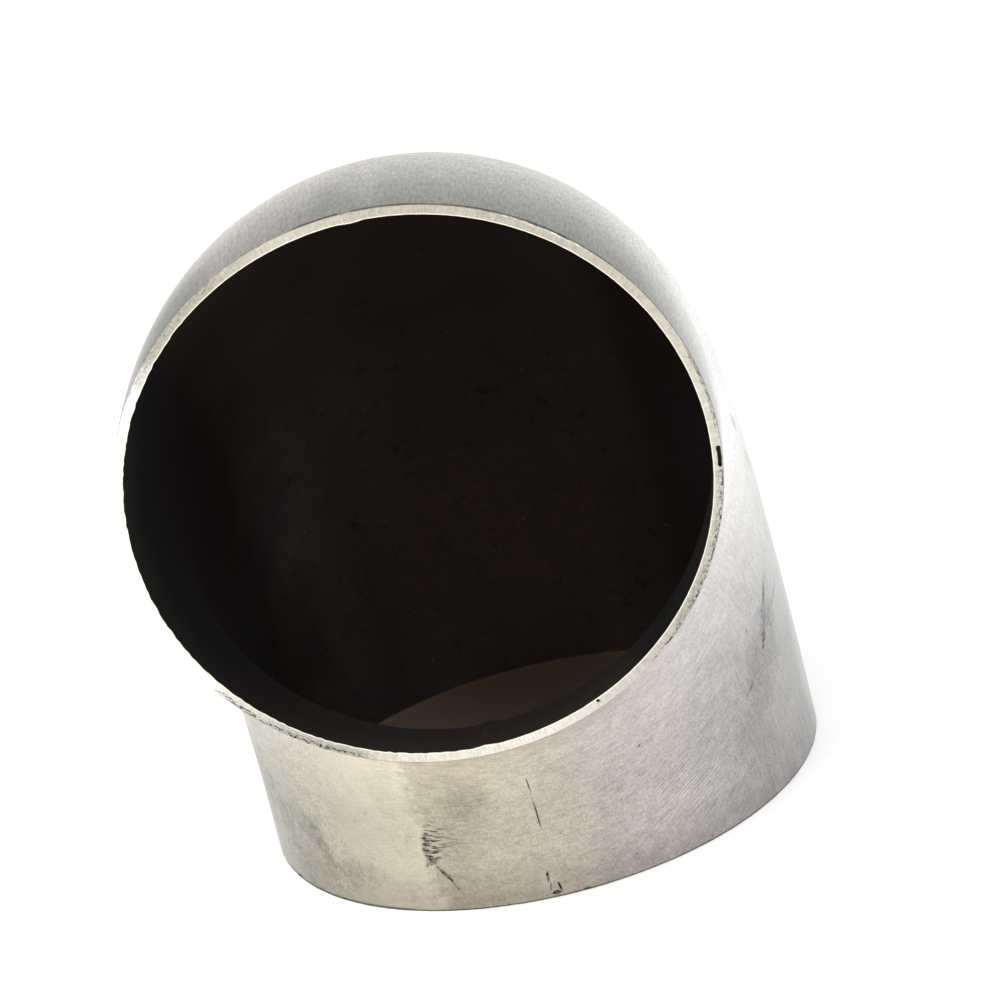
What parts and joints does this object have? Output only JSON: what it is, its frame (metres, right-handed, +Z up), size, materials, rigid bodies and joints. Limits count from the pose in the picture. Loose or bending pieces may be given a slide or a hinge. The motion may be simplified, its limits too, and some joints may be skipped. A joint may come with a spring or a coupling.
{
  "type": "pipe elbow",
  "caption": "Short-radius right-angle butt-weld pipe elbow: a thin round duct of pressed half shells joined by ground seam welds, with plain sawn ends.",
  "frame": {"origin": "centre of the lower end face, which the elbow stands on", "axes": "+Z up along the axis of the lower leg, -Y out of the other end, X across the plane of the bend"},
  "size_m": [0.1142, 0.1587, 0.1677],
  "materials": {
    "shell_steel": "bead blasted and ground satin stainless steel, with a darker inside",
    "weld_metal": "weld ground flush with the shells"
  },
  "bodies": {
    "root": {"half_shell_left": "shell_steel", "half_shell_right": "shell_steel", "weld_seam_extrados": "weld_metal", "weld_seam_intrados": "weld_metal"}
  },
  "joints": []
}
